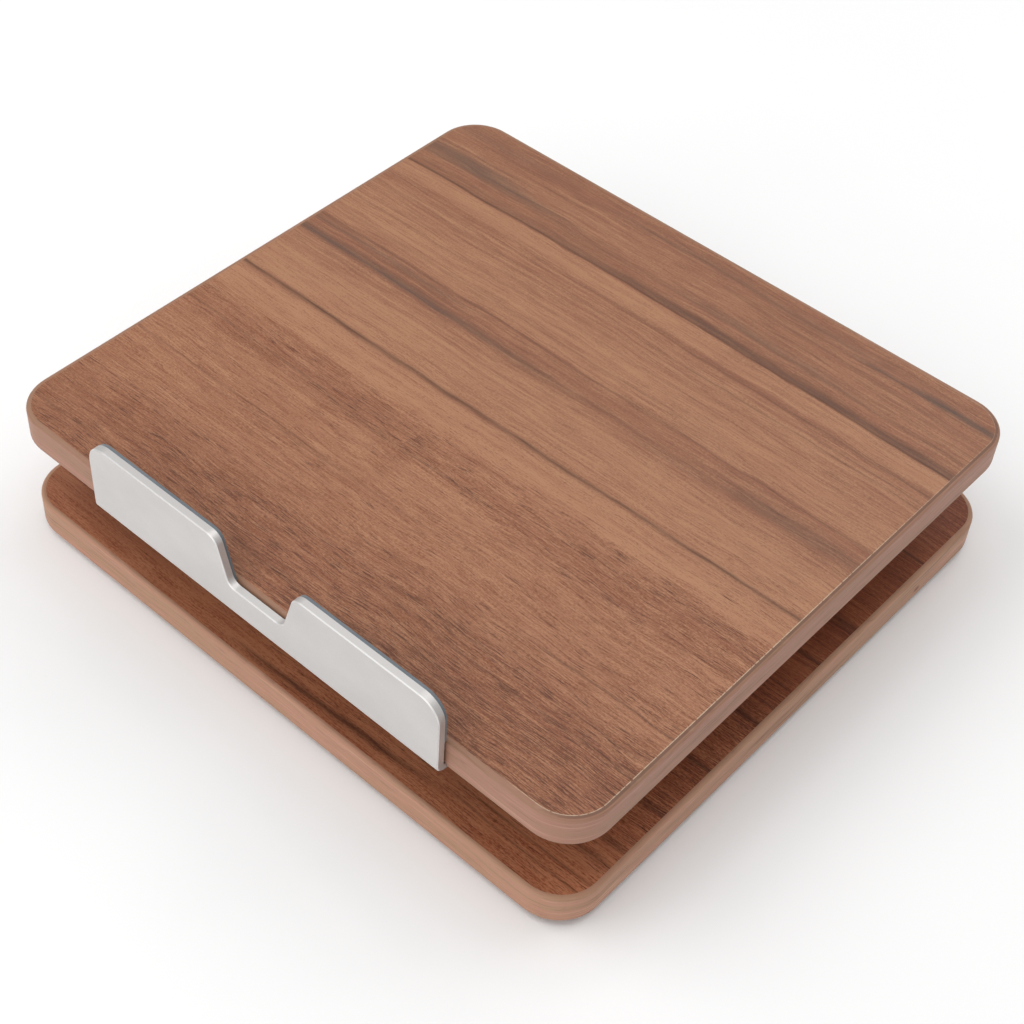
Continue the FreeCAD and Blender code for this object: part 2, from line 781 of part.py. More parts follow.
def washer_master():
    """A flat friction washer, its underside at the origin."""
    body = new_body("friction_washer_master")
    ring = sketch_on(body, "XY_Plane")
    circle(ring, ZERO, ZERO, dim("washer_radius"))
    circle(ring, ZERO, ZERO, PIN_HOLE_RADIUS)
    pad(body, ring, dim("washer_thickness"))
    return body


def spring_master():
    """A coned disc spring, its wide rim at the origin's level."""
    body = new_body("disc_spring_master")
    profile = sketch_on(body, "XZ_Plane")
    thickness = dim("spring_thickness")
    height = dim("spring_height")
    polygon(profile, [
        (dim("spring_radius"), ZERO),
        (dim("spring_radius"), thickness),
        (PIN_HOLE_RADIUS, height),
        (PIN_HOLE_RADIUS, height - thickness),
    ])
    revolve(body, profile)
    return body


def nut_master():
    """A self-locking nut: a hexagon with a round collar, its clamping face at the origin."""
    body = new_body("lock_nut_master")
    flats = sketch_on(body, "XY_Plane")
    hexagon(flats, dim("nut_flats"))
    pad(body, flats, dim("nut_hex_height"))
    collar = sketch_on(body, "XY_Plane", dim("nut_hex_height"))
    circle(collar, ZERO, ZERO, dim("nut_collar_radius"))
    pad(body, collar, dim("nut_collar_height"))
    rim = (dim("nut_hex_height") + dim("nut_collar_height")).number
    fillet(body, lambda edge: lies_at(edge, z=rim), dim("nut_collar_height") / 2, expected=1)
    bore = sketch_on(body, "XY_Plane")
    circle(bore, ZERO, ZERO, PIN_HOLE_RADIUS)
    pocket(body, bore, dim("nut_hex_height") + dim("nut_collar_height"), backwards=True)
    return body


def cap_master():
    """A thin cap that closes an arm's counterbore, its inner face at the origin."""
    body = new_body("hinge_cap_master")
    disc = sketch_on(body, "XY_Plane")
    circle(disc, ZERO, ZERO, dim("counterbore_radius") - dim("screw_fit"))
    pad(body, disc, dim("cap_thickness"))
    top = dim("cap_thickness").number
    fillet(body, lambda edge: lies_at(edge, z=top), dim("cap_thickness") / 2, expected=1)
    return body


# ------------------------------------------------------------------ feet and brackets


def base_feet():
    """Four stick-on rubber feet under the base."""
    master = new_body("foot_master")
    disc = sketch_on(master, "XY_Plane")
    circle(disc, ZERO, ZERO, dim("foot_radius"))
    pad(master, disc, dim("foot_height"))
    fillet(master, lambda edge: lies_at(edge, z=0), dim("foot_edge_radius"), expected=1)
    x = HALF_LENGTH - dim("foot_inset")
    y = HALF_DEPTH - dim("foot_inset")
    places = [(x * across, y * along, ZERO, UPRIGHT) for across in SIDES for along in SIDES]
    instances("base_feet", master, places)


def ear_outline(sketch):
    """The ear's side view: a round head about the pivot, sloping down to the plate."""
    radius = dim("knuckle_radius")
    stand_off = dim("pivot_stand_off")
    plate_bottom = -(stand_off + dim("bracket_thickness"))
    toe, heel = -dim("bracket_plate_start"), -dim("bracket_ear_end")
    reach = math.hypot(heel.number, stand_off.number)
    touch = math.atan2(-stand_off.number, heel.number) - math.acos(radius.number / reach)
    touch_point = Vector(math.cos(touch), math.sin(touch), 0) * radius.number
    head_start = Vector(0, -radius.number, 0)
    corners = [
        Vector(heel.number, plate_bottom.number, 0),
        Vector(toe.number, plate_bottom.number, 0),
        Vector(toe.number, -radius.number, 0),
    ]
    heel_top = Vector(heel.number, -stand_off.number, 0)
    head = Part.Circle(Vector(), Vector(0, 0, 1), radius.number)
    foot, toe_side, toe_top, slope, heel_side, arc = sketch.addGeometry([
        Part.LineSegment(corners[0], corners[1]),
        Part.LineSegment(corners[1], corners[2]),
        Part.LineSegment(corners[2], head_start),
        Part.LineSegment(touch_point, heel_top),
        Part.LineSegment(heel_top, corners[0]),
        Part.ArcOfCircle(head, -math.pi / 2, touch % (2 * math.pi)),
    ], False)
    constrain(sketch, "Coincident", foot, END, toe_side, START)
    constrain(sketch, "Coincident", toe_side, END, toe_top, START)
    constrain(sketch, "Coincident", slope, END, heel_side, START)
    constrain(sketch, "Coincident", heel_side, END, foot, START)
    constrain(sketch, "Coincident", arc, CENTRE, *SKETCH_ORIGIN)
    constrain(sketch, "Tangent", toe_top, END, arc, START)
    constrain(sketch, "Tangent", arc, END, slope, START)
    constrain(sketch, "Radius", arc, size=radius)
    constrain(sketch, "Horizontal", toe_top)
    constrain(sketch, "Vertical", toe_side)
    pin_point(sketch, foot, START, heel, plate_bottom)
    pin_point(sketch, heel_side, START, heel, -stand_off)
    pin_point(sketch, foot, END, toe, plate_bottom)


def bracket_master():
    """An angle bracket, its pivot at the origin and its ear's outer face in the YZ plane."""
    body = new_body("bracket_master")
    thickness = dim("bracket_thickness")
    plate_top = -dim("pivot_stand_off")
    width = dim("bracket_plate_width")
    start, end = -dim("bracket_plate_start"), -dim("bracket_plate_end")
    plate = sketch_on(body, "XY_Plane", plate_top)
    rectangle(plate, -width, ZERO, end, start)
    pad(body, plate, thickness, backwards=True)
    far_side = -width.number
    fillet(
        body,
        lambda edge: runs_along(edge, "z") and lies_at(edge, x=far_side),
        dim("bracket_corner_radius"),
        expected=2,
    )
    ear = sketch_on(body, "YZ_Plane")
    ear_outline(ear)
    pad(body, ear, thickness, backwards=True)
    inner_face = -thickness.number
    level = plate_top.number
    fillet(
        body,
        lambda edge: runs_along(edge, "y") and lies_at(edge, x=inner_face, z=level),
        dim("bracket_bend_radius"),
        expected=1,
    )
    eye = sketch_on(body, "YZ_Plane")
    circle(eye, ZERO, ZERO, PIN_HOLE_RADIUS)
    pocket(body, eye, thickness)
    drill_bracket(body, plate_top)
    return body


def drill_bracket(body, plate_top):
    """Countersunk screw holes in the bracket's plate."""
    holes = sketch_on(body, "XY_Plane", plate_top)
    radius = dim("wood_screw_radius") + dim("screw_fit")
    for across, along in BRACKET_SCREWS:
        circle(holes, -across, -along, radius)
    pocket(body, holes, dim("bracket_thickness"))
    level = plate_top.number
    sink = dim("wood_screw_head_radius") - dim("wood_screw_radius")
    chamfer(body, lambda edge: is_round(edge, radius.number) and lies_at(edge, z=level), sink, expected=3)


# ------------------------------------------------------------------ hinges


def hinge_hardware(prefix, hinges, board_face, masters):
    """One board's two friction hinges: brackets, screws, bolts, washers, springs and nuts."""
    y, z, turn = hinges["pivot_y"], hinges["pivot_z"], hinges["turn"]
    right = instances(prefix + "_bracket_right", masters["bracket"], [(EAR_OUTER, y, z, turn)])
    mirrored(prefix + "_bracket_left", right)
    screws = [
        (x, screw_y, board_face, turn) for side in SIDES for x, screw_y in bracket_screw_points(hinges, side)
    ]
    instances(prefix + "_bracket_screws", masters["wood_screw"], screws)
    outward = {1: POINTING_RIGHT, -1: POINTING_LEFT}
    inward = {1: POINTING_LEFT, -1: POINTING_RIGHT}

    def both_sides(stack):
        return [(x * side, y, z, way[side]) for side in SIDES for x, way in stack]

    instances(prefix + "_hinge_bolts", masters["bolt"], both_sides([(BOLT_HEAD_FACE, outward)]))
    washers = [(OUTER_WASHER_FACE, outward), (INNER_WASHER_FACE, outward)]
    instances(prefix + "_friction_washers", masters["washer"], both_sides(washers))
    springs = [(MID_SPRINGS, outward), (MID_SPRINGS, inward)]
    instances(prefix + "_disc_springs", masters["spring"], both_sides(springs))
    instances(prefix + "_lock_nuts", masters["nut"], both_sides([(NUT_FACE, inward)]))


# ------------------------------------------------------------------ arms and cross bars


def point_on_arm(share):
    """A point part of the way along the arm, from the rear pivot towards the front one."""
    y = REAR_PIVOT_Y + (FRONT_PIVOT_Y - REAR_PIVOT_Y) * share
    z = LOWER_PIVOT_Z + (UPPER_PIVOT_Z - LOWER_PIVOT_Z) * share
    return y, z


REAR_PIVOT = (REAR_PIVOT_Y, LOWER_PIVOT_Z)
FRONT_PIVOT = (FRONT_PIVOT_Y, UPPER_PIVOT_Z)
BAR_POINTS = {
    "rear_cross_bar": point_on_arm(dim("rear_bar_share")),
    "front_cross_bar": point_on_arm(dim("front_bar_share")),
}


def side_arms():
    """The right arm with its hinge bores, counterbores and screw holes, and the left one."""
    body = new_body("arm_right")
    outline = sketch_on(body, "YZ_Plane", ARM_INNER)
    stadium(outline, FRONT_PIVOT, REAR_PIVOT, dim("knuckle_radius"))
    pad(body, outline, dim("arm_thickness"))
    flat_faces = (ARM_INNER.number, ARM_OUTER.number)
    chamfer(
        body,
        lambda edge: any(lies_at(edge, x=face) for face in flat_faces),
        dim("arm_edge_break"),
        expected=8,
    )
    for radius, depth in (
        (dim("counterbore_radius"), dim("counterbore_depth")),
        (dim("bolt_radius") + dim("hinge_play"), dim("arm_thickness")),
    ):
        holes = sketch_on(body, "YZ_Plane", ARM_OUTER)
        for pivot in (REAR_PIVOT, FRONT_PIVOT):
            circle(holes, *pivot, radius)
        pocket(body, holes, depth)
    screw_radius = dim("bar_screw_radius") + dim("screw_fit")
    bar_holes = sketch_on(body, "YZ_Plane", ARM_OUTER)
    for point in BAR_POINTS.values():
        circle(bar_holes, *point, screw_radius)
    pocket(body, bar_holes, dim("arm_thickness"))
    outer = ARM_OUTER.number
    sink = dim("bar_screw_head_radius") - dim("bar_screw_radius")
    chamfer(
        body,
        lambda edge: is_round(edge, screw_radius.number) and lies_at(edge, x=outer),
        sink,
        expected=2,
    )
    keep(body)
    mirrored("arm_left", body)


def cross_bar(label, y, z):
    """A round bar between the arms, with a tapped hole in each end."""
    bar = doc.addObject("Part::Cylinder", label + "_rod")
    bind(bar, "Radius", dim("cross_bar_radius"))
    bind(bar, "Height", ARM_INNER * 2)
    holes = []
    hole_depth = dim("bar_screw_length")
    for start in (ZERO, ARM_INNER * 2 - hole_depth):
        hole = doc.addObject("Part::Cylinder", label + "_hole")
        bind(hole, "Radius", dim("bar_screw_radius") + dim("screw_fit"))
        bind(hole, "Height", hole_depth)
        bind(hole, "Placement.Base.z", start)
        holes.append(hole)
    both_holes = doc.addObject("Part::Fuse", label + "_holes")
    both_holes.Base, both_holes.Tool = holes
    drilled = doc.addObject("Part::Cut", label)
    drilled.Base = bar
    drilled.Tool = both_holes
    drilled.Label = label
    drilled.Placement = FreeCAD.Placement(Vector(), POINTING_RIGHT)
    bind(drilled, "Placement.Base.x", -ARM_INNER)
    bind(drilled, "Placement.Base.y", y + BOARD_SHIFT)
    bind(drilled, "Placement.Base.z", z)
    nodes.append(drilled)


def arm_hardware(masters):
    """The screws that hold the cross bars, and the caps over the hinge bolts' heads."""
    outward = {1: POINTING_RIGHT, -1: POINTING_LEFT}
    screws = [(ARM_OUTER * side, y, z, outward[side]) for side in SIDES for y, z in BAR_POINTS.values()]
    instances("cross_bar_screws", masters["bar_screw"], screws)
    pivots = (REAR_PIVOT, FRONT_PIVOT)
    caps = [(CAP_FACE * side, y, z, outward[side]) for side in SIDES for y, z in pivots]
    instances("arm_hinge_caps", masters["cap"], caps)


# ------------------------------------------------------------------ assembly


def fastener_masters():
    """The pieces that occur more than once, each drawn once."""
    return {
        "wood_screw": screw_master(
            "wood_screw_master", dim("wood_screw_radius"), dim("wood_screw_head_radius"),
            dim("wood_screw_length"), dim("wood_screw_tip"), dim("wood_screw_tip_radius"),
        ),
        "bar_screw": screw_master(
            "bar_screw_master", dim("bar_screw_radius"), dim("bar_screw_head_radius"),
            dim("bar_screw_length"), ZERO, dim("bar_screw_radius"),
        ),
        "bolt": bolt_master(),
        "washer": washer_master(),
        "spring": spring_master(),
        "nut": nut_master(),
        "cap": cap_master(),
        "bracket": bracket_master(),
    }


def check_document():
    """Stop on any failed object, and on any sub-part that isn't sound, closed solids."""
    doc.recompute()
    for item in doc.Objects:
        if "Invalid" in item.State or "Error" in item.State:
            raise RuntimeError("%s failed: %s" % (item.Name, item.State))
    for node in nodes:
        shape = node.Shape
        if shape.isNull() or not shape.isValid() or not shape.Solids:
            raise RuntimeError("%s is not a valid solid" % node.Label)


def write_parts():
    os.makedirs("parts", exist_ok=True)
    for node in nodes:
        node.Shape.exportStep("parts/%s.step" % node.Label)


def main():
    masters = fastener_masters()
    base_board()
    base_feet()
    hinge_hardware("base", BASE_HINGES, BASE_TOP, masters)
    side_arms()
    for label, (y, z) in BAR_POINTS.items():
        cross_bar(label, y, z)
    arm_hardware(masters)
    deck_board()
    hinge_hardware("deck", DECK_HINGES, DECK_LEVEL, masters)
    front_lip()
    lip_pads()
    lip_screws = [(x, y, FLANGE_BOTTOM, UPSIDE_DOWN) for x, y in lip_screw_points()]
    instances("lip_screws", masters["wood_screw"], lip_screws)
    check_document()
    write_parts()
    for node in nodes:
        print("%-24s %2d solid(s), %9.1f mm3" % (node.Label, len(node.Shape.Solids), node.Shape.Volume))


main()
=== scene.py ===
import math

import bpy
from mathutils import Euler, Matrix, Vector


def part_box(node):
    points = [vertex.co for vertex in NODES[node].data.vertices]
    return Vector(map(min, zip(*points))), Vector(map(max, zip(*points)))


# The looks of a folded laptop riser: two walnut-veneered boards, a bent aluminium lip with grey pads,
# and the hinged arms between the boards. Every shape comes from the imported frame. This script gives
# each node a procedural material, and adds the camera, the floor and the lights.

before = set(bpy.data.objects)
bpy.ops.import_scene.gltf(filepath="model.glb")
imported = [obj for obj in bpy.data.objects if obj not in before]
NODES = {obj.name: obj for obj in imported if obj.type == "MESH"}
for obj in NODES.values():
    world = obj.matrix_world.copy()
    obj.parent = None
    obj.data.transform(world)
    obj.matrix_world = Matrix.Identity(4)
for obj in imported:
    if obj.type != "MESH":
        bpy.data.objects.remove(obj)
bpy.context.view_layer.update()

MM = 0.001

# ------------------------------------------------------------------ places taken from the frame


def half_size(node):
    """Half of a node's length, depth and height, in mm."""
    low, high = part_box(node)
    return (high - low) / 2 / MM


def middle(node):
    """The middle of a node's box, in mm."""
    low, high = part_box(node)
    return (low + high) / 2 / MM


PANEL_HALF = half_size("deck_top_veneer")
BAND_HALF = half_size("deck_edge_band")
BOARD_ENDS = (-BAND_HALF.x, BAND_HALF.x)
# The corner radius of a board's veneer, which the frame's boxes don't show.
PANEL_RADIUS = 16.0

# ------------------------------------------------------------------ node helpers

# The Mix node lists its colour sockets after those for numbers and vectors.
MIX_COLOUR_A, MIX_COLOUR_B, MIX_COLOUR_OUT = 6, 7, 2

UNIFORM_SOCKETS = {"metallic": "Metallic", "specular": "Specular IOR Level", "sheen": "Sheen Weight"}


def channel(value):
    """One sRGB channel, 0 to 255, as a linear share."""
    share = value / 255
    return share / 12.92 if share <= 0.04045 else ((share + 0.055) / 1.055) ** 2.4


def colour(red, green, blue):
    return (channel(red), channel(green), channel(blue), 1.0)


class Graph:
    """One material's nodes, added with short calls."""

    def __init__(self, name):
        self.material = bpy.data.materials.new(name)
        self.material.use_nodes = True
        self.tree = self.material.node_tree
        self.tree.nodes.clear()

    def add(self, kind, values=None, **settings):
        node = self.tree.nodes.new(kind)
        for key, value in settings.items():
            setattr(node, key, value)
        for key, value in (values or {}).items():
            if isinstance(value, bpy.types.NodeSocket):
                self.tree.links.new(value, node.inputs[key])
            else:
                node.inputs[key].default_value = value
        return node

    def math(self, operation, a, b=0.0, clamp=False):
        return self.add("ShaderNodeMath", {0: a, 1: b}, operation=operation, use_clamp=clamp).outputs[0]

    def plus(self, a, b, clamp=False):
        return self.math("ADD", a, b, clamp)

    def minus(self, a, b):
        return self.math("SUBTRACT", a, b)

    def times(self, a, b, clamp=False):
        return self.math("MULTIPLY", a, b, clamp)

    def over(self, a, b):
        return self.math("DIVIDE", a, b)

    def vector(self, operation, a, b):
        return self.add("ShaderNodeVectorMath", {0: a, 1: b}, operation=operation).outputs[0]

    def length(self, vector):
        return self.add("ShaderNodeVectorMath", {0: vector}, operation="LENGTH").outputs["Value"]

    def point(self, origin=(0.0, 0.0, 0.0)):
        """The surface's own point in millimetres, measured from an origin in millimetres."""
        place = self.add("ShaderNodeTexCoord").outputs["Object"]
        millimetres = self.vector("MULTIPLY", place, (1 / MM, 1 / MM, 1 / MM))
        return self.vector("SUBTRACT", millimetres, tuple(origin))

    def split(self, vector):
        return self.add("ShaderNodeSeparateXYZ", {0: vector}).outputs

    def join(self, x, y, z=0.0):
        return self.add("ShaderNodeCombineXYZ", {0: x, 1: y, 2: z}).outputs[0]

    def normal(self):
        """The surface's direction in the object's own axes, which turn with it."""
        return self.split(self.add("ShaderNodeTexCoord").outputs["Normal"])

    def grain(self, point, per_x, per_y, per_z=0.0, detail=2.0, roughness=0.5):
        """Noise from 0 to 1, with its own number of features per millimetre along each axis."""
        scaled = self.vector("MULTIPLY", point, (per_x, per_y, per_z))
        values = {"Vector": scaled, "Scale": 1.0, "Detail": detail, "Roughness": roughness}
        return self.add("ShaderNodeTexNoise", values).outputs[0]

    def step(self, value, start, end, low=0.0, high=1.0):
        """A smooth step from low to high as the value goes from start to end."""
        values = {0: value, 1: start, 2: end, 3: low, 4: high}
        return self.add("ShaderNodeMapRange", values, interpolation_type="SMOOTHSTEP").outputs[0]

    def line(self, value, start, end, low, high):
        """A straight change from low to high as the value goes from start to end."""
        return self.add("ShaderNodeMapRange", {0: value, 1: start, 2: end, 3: low, 4: high}).outputs[0]

    def ramp(self, value, stops):
        """A colour or a number that changes along the stops, each a place from 0 to 1 and its tint."""
        node = self.add("ShaderNodeValToRGB", {0: value})
        elements = node.color_ramp.elements
        while len(elements) < len(stops):
            elements.new(0.5)
        for element, (place, tint) in zip(elements, sorted(stops, key=lambda stop: stop[0])):
            element.position = place
            element.color = tint if hasattr(tint, "__len__") else (tint, tint, tint, 1.0)
        return node.outputs[0]

    def mix(self, share, a, b):
        values = {0: share, MIX_COLOUR_A: a, MIX_COLOUR_B: b}
        return self.add("ShaderNodeMix", values, data_type="RGBA").outputs[MIX_COLOUR_OUT]

    def bump(self, height, depth_mm, strength=0.5):
        values = {"Height": height, "Distance": depth_mm * MM, "Strength": strength}
        return self.add("ShaderNodeBump", values).outputs[0]

    def finish(self, tint, roughness, normal=None, alpha=None, **uniform):
        """The Principled shader. The keyword values are the same all over the surface."""
        values = {"Base Color": tint, "Roughness": roughness}
        if normal is not None:
            values["Normal"] = normal
        if alpha is not None:
            values["Alpha"] = alpha
        for key, value in uniform.items():
            values[UNIFORM_SOCKETS[key]] = value
        shader = self.add("ShaderNodeBsdfPrincipled", values)
        self.add("ShaderNodeOutputMaterial", {"Surface": shader.outputs[0]})
        return self.material


def swing(g, noise, reach):
    """A noise turned into a change of tone that goes from about -reach to reach."""
    return g.line(noise, 0.25, 0.75, -reach, reach)


def wave(g, noise, reach_mm):
    """A noise turned into a shift that stays within reach_mm to either side."""
    return g.line(noise, 0.0, 1.0, -reach_mm, reach_mm)


def dress(material, *names):
    """Give CAD nodes a material through their own slots."""
    for name in names:
        slots = NODES[name].data.materials
        slots.clear()
        slots.append(material)


# ------------------------------------------------------------------ what the veneers look like

# How pale the deck's top veneer is across the board, as y in mm and a share from 0 to 1. The values
# were picked from a measured brightness profile of the board in the photograph.
DECK_ZONES = [
    (130, 0.58), (119, 0.48), (108, 0.60), (100, 0.58), (94, 0.55), (90, 0.52), (86, 0.46),
    (84, 0.86), (77, 0.90), (73, 0.54), (68, 0.66), (60, 0.64), (46, 0.86), (37, 0.78),
    (33, 0.46), (22, 0.50), (17, 0.72), (8, 0.90), (-7, 0.84), (-11, 0.88), (-24, 0.98),
    (-27, 0.68), (-38, 0.52), (-44, 0.52), (-49, 0.74), (-60, 0.66), (-84, 0.64), (-100, 0.44),
    (-130, 0.40),
]

# A streak in a veneer: y and its drift over a metre of x, softness towards the rear and the front,
# where it starts and ends along x with the length of its fade, and how dark it is from 0 to 1. The
# rest is in mm. The places of the deck's streaks were read from the photograph.
STREAK_KEYS = ("y", "drift", "above", "below", "start", "end", "fade", "dark")

DECK_BROWN_STREAKS = [
    (85.5, 0, 0.9, 0.6, -150, 150, 5, 0.80),
    (88.2, -3, 2.0, 1.6, -20, 170, 120, 0.46),
    (88.6, 0, 2.2, 2.0, -170, 150, 90, 0.22),
    (95.6, 2, 1.2, 1.0, -90, 150, 60, 0.28),
    (99.5, 0, 0.8, 0.7, -100, 40, 50, 0.15),
    (112.0, -30, 1.6, 1.2, 20, 150, 70, 0.26),
    (108.0, 12, 1.0, 0.8, -150, -20, 60, 0.12),
    (122.0, -4, 0.8, 0.8, -60, 110, 60, 0.14),
    (72.6, 0, 1.5, 1.0, -30, 150, 60, 0.16),
    (71.5, 6, 0.5, 0.5, 20, 150, 30, 0.30),
    (67.0, 4, 0.5, 0.5, 84, 150, 24, 0.34),
    (64.0, 3, 0.6, 0.6, 36, 150, 50, 0.30),
    (64.5, -3, 0.5, 0.5, -140, 60, 60, 0.18),
    (52.0, 4, 0.5, 0.5, -150, 70, 60, 0.14),
    (41.0, -3, 0.6, 0.6, -150, 60, 60, 0.22),
    (34.0, 2, 0.6, 0.5, -150, 150, 20, 0.40),
    (22.6, -6, 1.7, 0.9, -60, 110, 70, 0.30),
    (26.5, 0, 1.0, 0.8, 60, 150, 40, 0.24),
    (-9.3, 0, 0.6, 0.5, -150, 150, 5, 0.34),
    (-9.5, 0, 1.4, 1.2, -150, 150, 5, 0.46),
    (-10.4, 0, 1.6, 1.4, -150, 30, 80, 0.20),
    (-40.5, -4, 0.8, 0.7, -150, -52, 30, 0.35),
    (-42.5, 6, 0.9, 0.8, -60, 30, 30, 0.24),
    (-65.6, 0, 0.6, 0.6, -150, -30, 20, 0.34),
    (-66.0, 30, 0.6, 0.5, -90, 20, 30, 0.26),
    (-79.3, 0, 0.5, 0.5, 80, 150, 20, 0.55),
    (-93.5, 4, 0.7, 0.7, 20, 150, 50, 0.22),
    (-99.5, 0, 0.9, 0.8, 20, 150, 60, 0.30),
    (-117.0, 6, 1.2, 1.0, -150, 60, 60, 0.24),
]
DECK_GREY_STREAKS = [
    (101.0, -4, 3.4, 3.0, -170, -94, 40, 0.56),
    (96.8, 2, 2.6, 1.8, -170, -84, 50, 0.36),
    (98.6, -2, 2.4, 1.8, -118, -62, 36, 0.34),
    (119.5, 4, 3.4, 2.6, -170, -80, 60, 0.22),
    (87.2, 0, 1.5, 1.0, -60, 170, 120, 0.34),
    (118.0, -10, 2.0, 1.5, 104, 160, 22, 0.85),
    (115.3, 4, 1.4, 1.1, 74, 112, 22, 0.55),
    (119.0, 0, 2.0, 2.0, -44, 84, 60, 0.28),
    (96.6, 0, 2.4, 2.2, 6, 84, 50, 0.32),
    (30.6, 0, 1.8, 1.5, -170, -60, 50, 0.34),
    (22.4, -3, 2.3, 1.6, -170, -30, 100, 0.66),
    (20.2, -4, 1.0, 0.8, 40, 80, 30, 0.22),
    (24.5, 0, 3.6, 2.6, 84, 136, 34, 0.34),
]

# How crowded the pores are across the board, as y in mm and a number from 0, few, to 1.5, most.
PORE_ZONES = [
    (130, 0.30), (80, 0.10), (40, 0.35), (20, 0.45), (5, 0.40), (-24, 0.35), (-29, 0.95), (-44, 0.95),
    (-52, 0.60), (-82, 0.65), (-92, 1.10), (-130, 1.25),
]

# The zones and streaks of the base's veneers, in the same form.
BASE_ZONES = [
    (130, 0.40), (90, 0.58), (80, 0.35), (40, 0.50), (34, 0.28), (10, 0.55), (-20, 0.35),
    (-40, 0.55), (-60, 0.40), (-80, 0.60), (-98, 0.74), (-112, 0.92), (-120, 0.86), (-130, 0.70),
]
BASE_BROWN_STREAKS = [
    (-123.0, 24, 1.2, 2.0, -20, 66, 40, 0.75),
    (-112.0, 0, 9.0, 9.0, -170, -70, 60, 0.25),
    (-112.5, -4, 0.7, 0.5, -30, 30, 40, 0.45),
    (-113.0, -20, 0.5, 0.5, 84, 150, 24, 0.60),
    (-116.5, -30, 0.5, 0.5, 76, 150, 24, 0.50),
    (-107.0, 4, 1.6, 1.2, 50, 150, 40, 0.50),
    (-99.0, 8, 1.8, 1.4, 60, 150, 40, 0.50),
    (-78.0, 8, 2.0, 1.0, -150, 150, 20, 0.55),
    (-52.0, 5, 1.5, 1.0, -150, 150, 20, 0.60),
    (-24.0, 5, 2.5, 1.0, -150, 150, 20, 0.60),
    (16.0, -5, 1.2, 0.8, -150, 150, 20, 0.80),
    (38.0, 0, 3.0, 2.0, -150, 150, 20, 0.50),
    (84.0, 6, 1.0, 0.8, -150, 150, 20, 0.75),
]

DECK_LOOK = {
    "zones": DECK_ZONES,
    "pores": PORE_ZONES,
    "streaks": [(DECK_BROWN_STREAKS, colour(88, 57, 43)), (DECK_GREY_STREAKS, colour(82, 68, 61))],
    "rear_tints": [(0.0, colour(119, 78, 58)), (0.5, colour(144, 98, 74)), (1.0, colour(170, 124, 93))],
    "front_tints": [(0.0, colour(126, 76, 51)), (0.5, colour(150, 101, 74)), (1.0, colour(173, 125, 94))],
    "pore": colour(84, 50, 39),
    "ruddy": colour(142, 88, 68),
    "fineness": 1.0,
    "front_threads": 0.45,
}
BASE_LOOK = {
    "zones": BASE_ZONES,
    "pores": [(130, 0.60), (-90, 0.60), (-130, 0.40)],
    "streaks": [(BASE_BROWN_STREAKS, colour(62, 34, 22))],
    "rear_tints": [(0.0, colour(104, 52, 32)), (0.5, colour(140, 78, 50)), (1.0, colour(168, 106, 72))],
    "front_tints": [(0.0, colour(102, 54, 34)), (0.5, colour(148, 86, 58)), (1.0, colour(180, 118, 84))],
    "pore": colour(56, 30, 20),
    "ruddy": colour(138, 72, 46),
    "fineness": 0.7,
    "front_threads": 0.35,
}
BARE_JOINT_TINT = colour(204, 182, 158)

# The growth rings bow: how far a ring rises in the middle of the board, and how much it climbs from
# left to right, at the board's front half and at its rear. In mm, and in mm over a metre.
BOW_FRONT, BOW_REAR = -0.9, 2.0
CLIMB_FRONT, CLIMB_REAR = 9.0, -2.0
BOW_Y = (-9.0, 86.0)

# The rings also wave: how far each of three noises shifts them, in mm.
WANDER_REACH, RIPPLE_REACH, SWAY_REACH = 1.4, 0.7, 2.6

# Where the veneer changes from its rear character to its front character, in mm.
FORWARD_Y = (14.0, -34.0)

# How far apart two sheets lie in the noise, in mm, so that each has other grain.
SHEET_STEP_X, SHEET_STEP_Y = 731.0, 419.0

# The veneer's noises, by their features per mm along the grain (x) and across it (y).
WANDER = dict(per_x=0.020, per_y=0.02, detail=1.0)
RIPPLE = dict(per_x=0.06, per_y=0.14, detail=2.0)
SWAY = dict(per_x=0.016, per_y=0.045, detail=3.0)
FIBRE = dict(per_x=0.085, per_y=1.9, detail=4.0, roughness=0.72)
FLAKE = dict(per_x=0.035, per_y=0.42, detail=4.0, roughness=0.65)
SPECK = dict(per_x=0.9, per_y=2.4, detail=2.0)
THREAD = dict(per_x=0.008, per_y=0.70, detail=4.0, roughness=0.7)
CLOUD = dict(per_x=0.010, per_y=0.045, detail=3.0)
RUDDY = dict(per_x=0.02, per_y=0.22, detail=4.0, roughness=0.65)
PATCH = dict(per_x=0.05, per_y=0.5, detail=3.0)
CROWD = dict(per_x=0.011, per_y=0.16, detail=3.0)
PORE = dict(per_x=0.10, per_y=2.7, detail=4.0, roughness=0.68)
BROKEN = dict(per_x=0.35, per_y=0.55, detail=4.0, roughness=0.75)

# How much each noise changes the tone, or for the last one the crowding of the pores.
FIBRE_SWING, FLAKE_SWING, SPECK_SWING, THREAD_SWING, CLOUD_SWING = 0.44, 0.22, 0.30, 0.36, 0.10
CROWD_SWING = 0.5

# How strong the fine grain is, from the rear to the front and from the left to the right.
COARSE_TO_FRONT, COARSE_TO_RIGHT = (0.95, 1.55), (0.88, 1.12)

# How much of the ruddy tint, of a streak and, from rear to front, of a pore's tint shows at the most.
RUDDY_SHARE, STREAK_SHARE, PORE_SHARE = 0.24, 0.9, (0.40, 0.78)

# ------------------------------------------------------------------ walnut veneer


